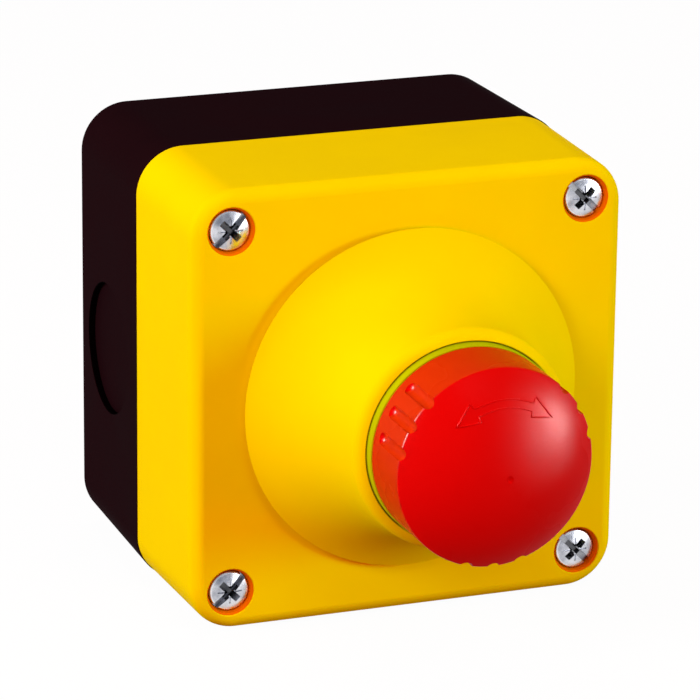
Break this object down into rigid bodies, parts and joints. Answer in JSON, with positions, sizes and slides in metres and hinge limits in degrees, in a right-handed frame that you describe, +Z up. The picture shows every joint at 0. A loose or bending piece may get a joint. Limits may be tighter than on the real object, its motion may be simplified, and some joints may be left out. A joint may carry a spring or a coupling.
{
  "type": "emergency stop station",
  "caption": "Wall-mounted emergency stop station: square two-part box with a flared collar round a push-in, twist-to-release mushroom button that works contact blocks inside.",
  "frame": {"origin": "centre of the flat back face that lies on the wall", "axes": "+Y into the wall, so the button faces -Y; +Z up; +X to the right seen from the front"},
  "size_m": [0.08, 0.1085, 0.08],
  "materials": {
    "black_plastic": "fine matt",
    "yellow_plastic": "satin",
    "red_plastic": "satin",
    "ring_plastic": "satin",
    "zinc_steel": "bright zinc",
    "seal_rubber": "matt",
    "grey_plastic": "matt",
    "spring_steel": "drawn",
    "contact_brass": "plain",
    "break_plastic": "matt",
    "make_plastic": "matt"
  },
  "bodies": {
    "housing": {"enclosure_base": "black_plastic", "enclosure_seal": "seal_rubber", "cover": "yellow_plastic", "cover_screws": "zinc_steel", "actuator_body": "grey_plastic", "actuator_seal": "seal_rubber", "lock_nut": "grey_plastic", "latch_spring": "spring_steel", "return_spring": "spring_steel", "nc_housing": "grey_plastic", "nc_lid": "grey_plastic", "nc_fixed_contacts": "contact_brass", "nc_terminal_clamps": "contact_brass", "nc_terminal_screws": "zinc_steel", "nc_spring": "spring_steel", "no_housing": "grey_plastic", "no_lid": "grey_plastic", "no_fixed_contacts": "contact_brass", "no_terminal_clamps": "contact_brass", "no_terminal_screws": "zinc_steel", "no_spring": "spring_steel"},
    "plunger": {"plunger_stem": "grey_plastic", "stem_seal": "seal_rubber", "stem_ring": "spring_steel", "push_foot": "grey_plastic", "foot_pin": "zinc_steel", "hub_ring": "spring_steel", "twist_spring": "spring_steel"},
    "button": {"button_cap": "red_plastic", "position_ring": "ring_plastic", "release_cam": "grey_plastic"},
    "nc_contact": {"nc_plunger": "break_plastic", "nc_bridge": "contact_brass"},
    "no_contact": {"no_plunger": "make_plastic", "no_bridge": "contact_brass"}
  },
  "joints": [
    {"name": "press", "type": "slide", "parent": "housing", "child": "plunger", "axis": [0, 1, 0], "range_m": [0, 0.006], "stiffness_N_per_m": 1700, "springref_m": -0.008, "deforming": ["return_spring", "latch_spring"]},
    {"name": "twist_release", "type": "hinge", "parent": "plunger", "child": "button", "pos_m": [0, -0.1, 0], "axis": [0, -1, 0], "range_deg": [-40, 40], "stiffness_Nm_per_rad": 0.05, "deforming": ["twist_spring"]},
    {"name": "nc_push", "type": "slide", "parent": "housing", "child": "nc_contact", "axis": [0, 1, 0], "range_m": [0, 0.006], "stiffness_N_per_m": 200, "springref_m": -0.003, "deforming": ["nc_spring"]},
    {"name": "no_push", "type": "slide", "parent": "housing", "child": "no_contact", "axis": [0, 1, 0], "range_m": [0, 0.006], "stiffness_N_per_m": 200, "springref_m": -0.003, "deforming": ["no_spring"]}
  ],
  "couplings": [
    {"joint": "nc_push", "follows": "press", "ratio": 1},
    {"joint": "no_push", "follows": "press", "ratio": 1}
  ]
}
